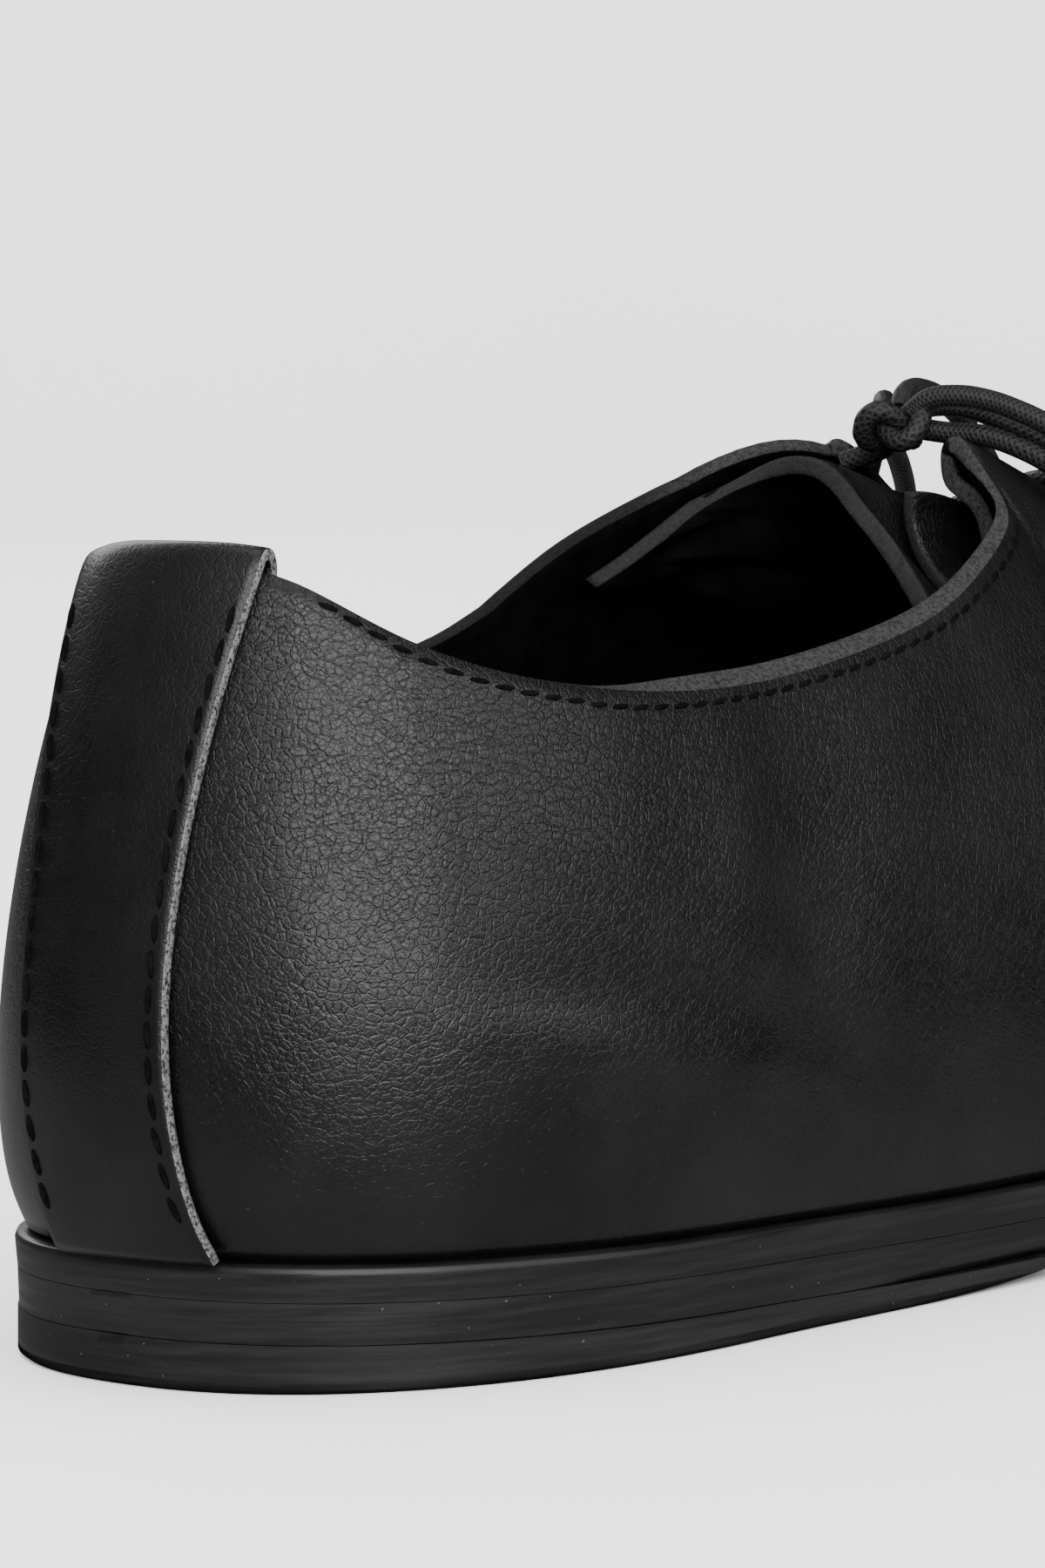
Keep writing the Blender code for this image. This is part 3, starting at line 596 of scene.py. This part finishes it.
# each free cord's route, in millimetres from the back of the sole
cordRoutes = {
    "lace_loop_lateral": [
        (112.2, -2.0, 82.0), (113.6, -4.5, 82.3), (115.2, -7.0, 81.8), (116.6, -9.4, 80.8),
        (118.2, -12.2, 79.2), (119.8, -16.2, 76.4), (121.8, -20.8, 72.4), (124.4, -24.8, 67.2),
        (126.4, -28.0, 61.6), (126.4, -30.6, 56.8), (123.8, -32.4, 53.6), (119.8, -32.6, 53.6),
        (117.2, -31.2, 57.0), (116.6, -28.4, 62.0), (117.0, -24.0, 67.2), (117.4, -19.0, 71.6),
        (117.6, -14.0, 74.8), (116.5, -9.4, 77.2), (115.2, -6.2, 78.3), (113.9, -3.2, 78.6)],
    "lace_loop_medial": [
        (113.6, 5.0, 81.4), (117.6, 8.4, 81.6), (121.8, 12.4, 79.8), (126.0, 17.6, 75.4),
        (129.2, 22.4, 69.6), (131.2, 26.6, 63.4), (132.2, 29.8, 57.2), (133.4, 32.0, 51.8),
        (136.6, 33.2, 48.6), (140.8, 32.8, 49.2), (143.0, 30.8, 53.4), (142.0, 27.8, 59.2),
        (138.4, 23.8, 65.2), (133.4, 19.4, 70.4), (127.2, 14.8, 74.4), (120.2, 10.2, 77.4),
        (114.8, 6.4, 78.6)],
    "lace_end_lateral": [
        (115.0, 1.8, 80.9), (119.6, 0.6, 81.0), (125.0, -1.2, 79.2), (131.6, -3.6, 76.0),
        (138.6, -6.6, 72.2), (145.0, -10.2, 68.0)],
    "lace_end_medial": [
        (114.5, 2.9, 82.6), (118.6, 3.9, 82.7), (124.0, 5.6, 81.0), (131.0, 8.0, 77.4),
        (138.0, 11.2, 72.8), (143.6, 14.8, 68.0)],
    "lace_strand_medial": [
        (110.6, 8.2, 75.7), (111.4, 7.0, 76.2), (112.2, 5.8, 76.7), (112.9, 4.6, 77.2)],
}
# the lace's colours: light is the cord's own dark grey, and dark is painted shade in the braid's grooves
laceSettings = {"diameter": 2.2 * mm, "turn": 2.4 * mm, "strands": 7.0, "dark": (0.003, 0.003, 0.003, 1),
                "light": (0.011, 0.011, 0.0115, 1)}


def makeCordMaterial(name, length, s):
    # waxed braid: two sets of diagonal ridges from the curve's own UV, along and around
    material, tree, shader = newMaterial(name, Coat_Weight=0.1, Coat_Roughness=0.35, Specular_IOR_Level=0.35)
    uv = addNode(tree, "ShaderNodeSeparateXYZ", Vector=addNode(tree, "ShaderNodeTexCoord").outputs["UV"])
    along = times(tree, uv.outputs["X"], 2 * math.pi * length / s["turn"])
    around = times(tree, uv.outputs["Y"], 2 * math.pi * s["strands"])
    waves = []
    for way in (1.0, -1.0):
        angle = plus(tree, times(tree, along, 3.0), times(tree, around, way))
        waves.append(addNode(tree, "ShaderNodeMath", {"operation": "SINE"}, i0=angle).outputs[0])
    braid = addNode(tree, "ShaderNodeMath", {"operation": "MAXIMUM"}, i0=waves[0], i1=waves[1]).outputs[0]
    place = addNode(tree, "ShaderNodeTexCoord").outputs["Object"]
    fuzz = noise(tree, place, 1800.0, 4.0, 0.65)
    height = plus(tree, times(tree, braid, 0.5), fuzz)
    # the colour follows the braid's height: paler crests and darker grooves, as painted shade between the
    # strands, with the fuzz as random tone
    colour = blendColours(tree, ramp(tree, height, 0.1, 1.1), s["dark"], s["light"])
    tree.links.new(colour, shader.inputs["Base Color"])
    tree.links.new(ramp(tree, fuzz, 0.3, 0.7, 0.42, 0.6), shader.inputs["Roughness"])
    bump = addNode(tree, "ShaderNodeBump", Height=height, Distance=0.00010, Strength=1.0)
    tree.links.new(bump.outputs["Normal"], shader.inputs["Normal"])
    return material


def pathLength(route):
    return sum((b - a).length for a, b in zip(route, route[1:]))


def addCord(name, routes, node, s, closed=False):
    # round cords through the points as smooth curves
    curve = bpy.data.curves.new(name, "CURVE")
    curve.dimensions = "3D"
    curve.bevel_depth = s["diameter"] / 2
    curve.bevel_resolution = 4
    curve.resolution_u = 6
    curve.use_fill_caps = True
    for route in routes:
        line = curve.splines.new("BEZIER")
        line.bezier_points.add(len(route) - 1)
        for point, place in zip(line.bezier_points, route):
            point.co = place
            point.handle_left_type = point.handle_right_type = "AUTO"
        line.use_cyclic_u = closed
    cord = bpy.data.objects.new(name, curve)
    curve.materials.append(makeCordMaterial(name + "Braid", pathLength(routes[0]), s))
    bpy.context.scene.collection.objects.link(cord)
    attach(cord, "root")
    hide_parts(node)
    return cord


knotSettings = {"middle": (110.9, 1.4, 79.5), "size": (1.1, 1.05, 1.5), "points": 24, "reach": 2.2}
farEnds = {"lace_loop_lateral": "object", "lace_loop_medial": "object",
           "lace_end_lateral": "bare", "lace_end_medial": "bare"}


def knotRoute(s):
    # an overhand knot's three lobes about its middle
    route = []
    for i in range(s["points"]):
        t = 2 * math.pi * i / s["points"]
        x, y, z = math.sin(t) + 2 * math.sin(2 * t), math.cos(t) - 2 * math.cos(2 * t), -math.sin(3 * t)
        place = [m + k * v for m, k, v in zip(s["middle"], s["size"], (x, y, z))]
        route.append(fromBack(*place))
    return route


def curveLength(route):
    # the length of the smooth curve through the points
    probe = bpy.data.curves.new("probe", "CURVE")
    probe.dimensions = "3D"
    probe.resolution_u = 12  # finer than the drawn cord
    line = probe.splines.new("BEZIER")
    line.bezier_points.add(len(route) - 1)
    for point, place in zip(line.bezier_points, route):
        point.co = place
        point.handle_left_type = point.handle_right_type = "AUTO"
    length = line.calc_length()
    bpy.data.curves.remove(probe)
    return length


def intoKnot(route, bothEnds, onlyLast):
    # the cord goes on into the knot, so that no cut end shows beside it
    middle = fromBack(*knotSettings["middle"])
    reach = knotSettings["reach"]
    inside = [middle + (end - middle).normalized() * reach * mm for end in (route[0], route[-1])]
    start = [] if onlyLast else inside[:1]
    return start + route + (inside[1:] if bothEnds or onlyLast else [])


knotPiece = addCord("laceKnot", [knotRoute(knotSettings)], "lace_knot", laceSettings, closed=True)
for node, rows in reversed(cordRoutes.items()):
    first, *rest = node.split("_")
    places = [fromBack(*row) for row in rows]
    route = intoKnot(places, node.startswith("lace_loop"), node == "lace_strand_medial")
    cord = addCord(first + "".join(word.capitalize() for word in rest), [route], node, laceSettings)
    if node in farEnds:
        cordLength = curveLength(route)
        print(node, "length", round(cordLength / mm, 1))


# places in millimetres from the back and from the throat's middle line
eyeletSettings = {"first": 121.0, "step": 10.5, "pairs": 4, "reach": 17.0, "hole": 1.5 * mm, "rim": 0.45 * mm}


def eyeletPlace(side, pair, s):
    start = fromBack(s["first"] + pair * s["step"], throatMiddle + side * s["reach"], 100)
    return hit(upperTree, start, Vector((0, 0, -1)))


def makeEyelets(s):
    # punched holes: a dark disc as painted shade in each hole's well, with a low rolled rim
    bm, rims = bmesh.new(), bmesh.new()
    for side in (-1, 1):
        for pair in range(s["pairs"]):
            place, normal = eyeletPlace(side, pair, s)
            turn = Matrix.Translation(place) @ normal.to_track_quat("Z", "Y").to_matrix().to_4x4()
            bmesh.ops.create_cone(bm, cap_ends=True, segments=20, radius1=s["hole"], radius2=s["hole"],
                                  depth=0.25 * mm, matrix=turn)
            outwards = Matrix.Translation((s["hole"] + s["rim"] * 0.4, 0, 0.1 * mm))
            upright = turn @ outwards @ Matrix.Rotation(math.pi / 2, 4, "X")
            ring = bmesh.ops.create_circle(rims, segments=8, radius=s["rim"], matrix=upright)
            edges = list(dict.fromkeys(edge for vert in ring["verts"] for edge in vert.link_edges))
            bmesh.ops.spin(rims, geom=ring["verts"] + edges, cent=place, axis=normal, angle=2 * math.pi,
                           steps=24, use_merge=True)
    for name, made, material in (("eyeletHoleShade", bm, holePaintedShade), ("eyeletRims", rims, smoothLeather)):
        bmesh.ops.recalc_face_normals(made, faces=made.faces)
        for face in made.faces:
            face.smooth = True
        mesh = bpy.data.meshes.new(name)
        made.to_mesh(mesh)
        made.free()
        piece = addObject(name, mesh, material)
        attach(piece, "root")


makeEyelets(eyeletSettings)


def facingPoint(side, x, reach, lift):
    start = fromBack(x, throatMiddle + side * reach, 100)
    place, normal = hit(upperTree, start, Vector((0, 0, -1)))
    return place + normal * lift


# shares of the way to the next pair, reaches from the throat's middle line, and how high each run passes
crossingSettings = {"sunk": -0.2 * mm, "rimShare": 0.06, "rimIn": 1.4, "rollShare": 0.18, "rollReach": 12.6,
                    "over": 1.6 * mm, "under": -0.9 * mm, "bar": 0.3 * mm}


def laceAcross(fromPair, toPair, over):
    # from the lateral eyelet up, over both rolls, and down into the medial eyelet
    s, c = eyeletSettings, crossingSettings
    radius = laceSettings["diameter"] / 2
    route = []
    for side, pair, other in ((-1, fromPair, toPair), (1, toPair, fromPair)):
        x, far = s["first"] + pair * s["step"], s["first"] + other * s["step"]
        half = [facingPoint(side, x, s["reach"], c["sunk"]),
                facingPoint(side, x + (far - x) * c["rimShare"], s["reach"] - c["rimIn"], radius * 1.05),
                facingPoint(side, x + (far - x) * c["rollShare"], c["rollReach"], radius + 0.5 * mm)]
        route.append(half)
    middle = (route[0][-1] + route[1][-1]) / 2 + Vector((0, 0, over))
    return route[0] + [middle] + route[1][::-1]


for pair in range(eyeletSettings["pairs"] - 1):
    runs = [laceAcross(pair, pair + 1, crossingSettings["over"]),
            laceAcross(pair + 1, pair, crossingSettings["under"])]
    addCord(f"laceCrossing{pair + 1}", runs, f"lace_crossing_{pair + 1}", laceSettings)
last = eyeletSettings["pairs"] - 1
addCord("laceBar", [laceAcross(last, last, crossingSettings["bar"])], "lace_bar", laceSettings)
print("lace made")


floorSettings = {"back": 1.6, "near": 2.5, "half": 3.0, "bend": 0.9, "bendSteps": 12, "height": 3.0,
                 "turn": 44.1, "grey": 0.86}


def makeFloor(s):
    material, tree, shader = newMaterial("paleFloor", Roughness=0.7)
    place = addNode(tree, "ShaderNodeTexCoord").outputs["Object"]
    grey = ramp(tree, noise(tree, place, 3.0, 2.0), 0.3, 0.7, s["grey"] - 0.01, s["grey"] + 0.01)
    tree.links.new(grey, shader.inputs["Base Color"])
    bm = bmesh.new()
    corners = [bm.verts.new(p) for p in ((-s["near"], -s["half"], 0), (-s["near"], s["half"], 0))]
    edge = bm.edges.new(corners)
    steps = [(s["near"] + s["back"], 0)]
    for i in range(s["bendSteps"]):
        a, b = (math.pi / 2 * k / s["bendSteps"] for k in (i, i + 1))
        steps.append((s["bend"] * (math.sin(b) - math.sin(a)), s["bend"] * (math.cos(a) - math.cos(b))))
    steps.append((0, s["height"]))
    for forward, up in steps:
        grown = bmesh.ops.extrude_edge_only(bm, edges=[edge])
        edge = next(e for e in grown["geom"] if isinstance(e, bmesh.types.BMEdge)
                    and all(v in grown["geom"] for v in e.verts))
        bmesh.ops.translate(bm, verts=edge.verts, vec=(forward, 0, up))
    bmesh.ops.recalc_face_normals(bm, faces=bm.faces)
    facing = Matrix.Rotation(math.radians(s["turn"]), 3, "Z")
    bmesh.ops.rotate(bm, verts=bm.verts, cent=(0, 0, 0), matrix=facing)
    for face in bm.faces:
        face.smooth = True
    mesh = bpy.data.meshes.new("floor")
    bm.to_mesh(mesh)
    bm.free()
    floor = addObject("floor", mesh, material)
    floor.visible_glossy = False


def makeLight(name, place, aim, size, power):
    data = bpy.data.lights.new(name, "AREA")
    data.shape = "RECTANGLE"
    data.size, data.size_y = size
    data.energy = power
    light = bpy.data.objects.new(name, data)
    light.location = place
    light.rotation_euler = (Vector(aim) - Vector(place)).to_track_quat("-Z", "Y").to_euler()
    bpy.context.scene.collection.objects.link(light)


# place, aim, size in metres and power in watts. The leather doesn't reflect the white floor and world, which
# would turn it grey: floorShine stands for them as a weak light on the floor that the camera doesn't see
lightSettings = {
    "keyLight": ((-0.72, -0.96, 0.66), (0, 0, 0.03), (1.1, 0.8), 15),
    "sideLight": ((0.35, -1.2, 0.7), (0, 0, 0.03), (1.0, 0.7), 4.5),
    "cornerLight": ((-1.0, -0.35, 1.0), (0, 0, 0.05), (0.6, 0.6), 3.5),
    "farLight": ((0.5, 1.3, 0.7), (0, 0, 0.03), (1.0, 0.6), 6),
    "floorShine": ((0, 0, 0.001), (0, 0, 1), (3.0, 3.0), 8),
    "topLight": ((0.1, 0.1, 1.6), (0, 0, 0.03), (1.2, 1.2), 6),
}
worldStrength = 2.9

makeFloor(floorSettings)
world = bpy.data.worlds.new("studio")
bpy.context.scene.world = world
world.use_nodes = True
sky = world.node_tree.nodes["Background"]
sky.inputs["Color"].default_value = (1.0, 1.0, 1.0, 1)
sky.inputs["Strength"].default_value = worldStrength
world.cycles_visibility.glossy = False
for name, row in lightSettings.items():
    makeLight(name, *row)
bpy.data.objects["floorShine"].visible_camera = False
print("stage made")
